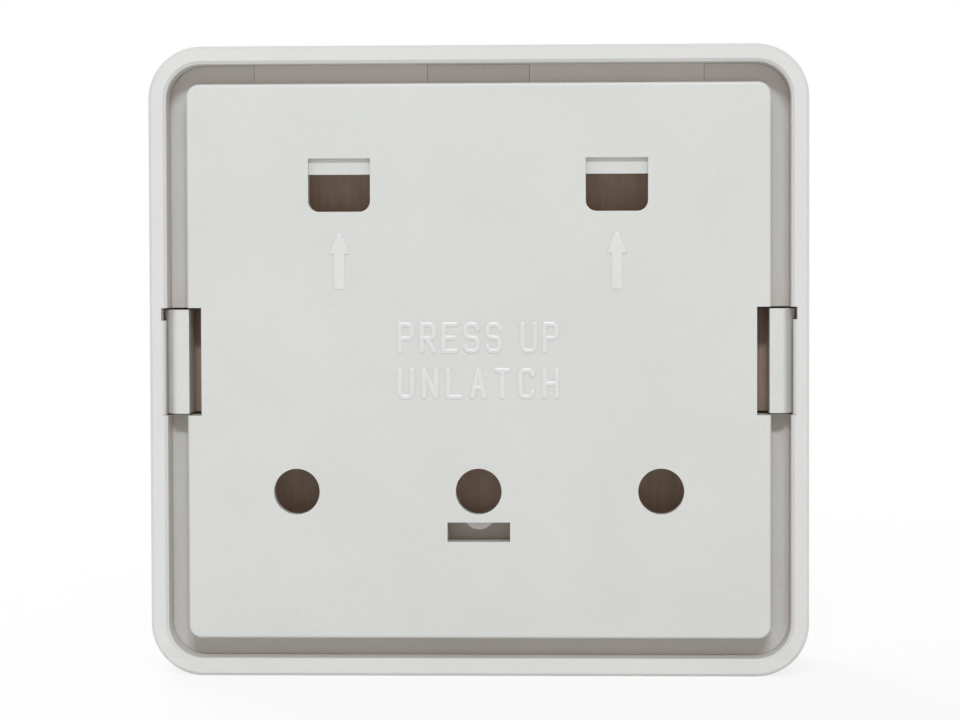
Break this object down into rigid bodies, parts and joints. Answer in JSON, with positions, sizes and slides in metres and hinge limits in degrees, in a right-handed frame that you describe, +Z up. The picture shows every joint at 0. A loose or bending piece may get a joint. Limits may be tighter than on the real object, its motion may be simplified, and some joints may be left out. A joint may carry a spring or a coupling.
{
  "type": "ethernet wall outlet",
  "caption": "Surface-mounted ethernet wall outlet: moulded cover with modular ports in front, and a snap-in back plate with windows, fixing holes and side snap fingers.",
  "frame": {"origin": "centre of the rim's rear plane, where the outlet meets the wall", "axes": "+Z up, +Y out of the back into the wall, -Y the way the ports face"},
  "size_m": [0.086, 0.027, 0.0822],
  "materials": {
    "shell_white": "satin moulded white",
    "plate_white": "satin moulded white",
    "board_brown": "brown phenolic board",
    "screw_zinc": "bright zinc",
    "jack_black": "black moulded",
    "insert_ivory": "ivory moulded",
    "contact_gold": "gold flash",
    "terminal_white": "white moulded",
    "blade_tin": "tin plate"
  },
  "bodies": {
    "root": {"front_cover": "shell_white", "back_plate": "plate_white", "circuit_board": "board_brown", "board_screws": "screw_zinc", "jack_left_housing": "jack_black", "jack_left_insert": "insert_ivory", "terminal_left_block": "terminal_white", "jack_left_contact_1": "contact_gold", "terminal_left_blade_1": "blade_tin", "jack_left_contact_2": "contact_gold", "terminal_left_blade_2": "blade_tin", "jack_left_contact_3": "contact_gold", "terminal_left_blade_3": "blade_tin", "jack_left_contact_4": "contact_gold", "terminal_left_blade_4": "blade_tin", "jack_left_contact_5": "contact_gold", "terminal_left_blade_5": "blade_tin", "jack_left_contact_6": "contact_gold", "terminal_left_blade_6": "blade_tin", "jack_left_contact_7": "contact_gold", "terminal_left_blade_7": "blade_tin", "jack_left_contact_8": "contact_gold", "terminal_left_blade_8": "blade_tin", "jack_right_housing": "jack_black", "jack_right_insert": "insert_ivory", "terminal_right_block": "terminal_white", "jack_right_contact_1": "contact_gold", "terminal_right_blade_1": "blade_tin", "jack_right_contact_2": "contact_gold", "terminal_right_blade_2": "blade_tin", "jack_right_contact_3": "contact_gold", "terminal_right_blade_3": "blade_tin", "jack_right_contact_4": "contact_gold", "terminal_right_blade_4": "blade_tin", "jack_right_contact_5": "contact_gold", "terminal_right_blade_5": "blade_tin", "jack_right_contact_6": "contact_gold", "terminal_right_blade_6": "blade_tin", "jack_right_contact_7": "contact_gold", "terminal_right_blade_7": "blade_tin", "jack_right_contact_8": "contact_gold", "terminal_right_blade_8": "blade_tin"}
  },
  "joints": []
}
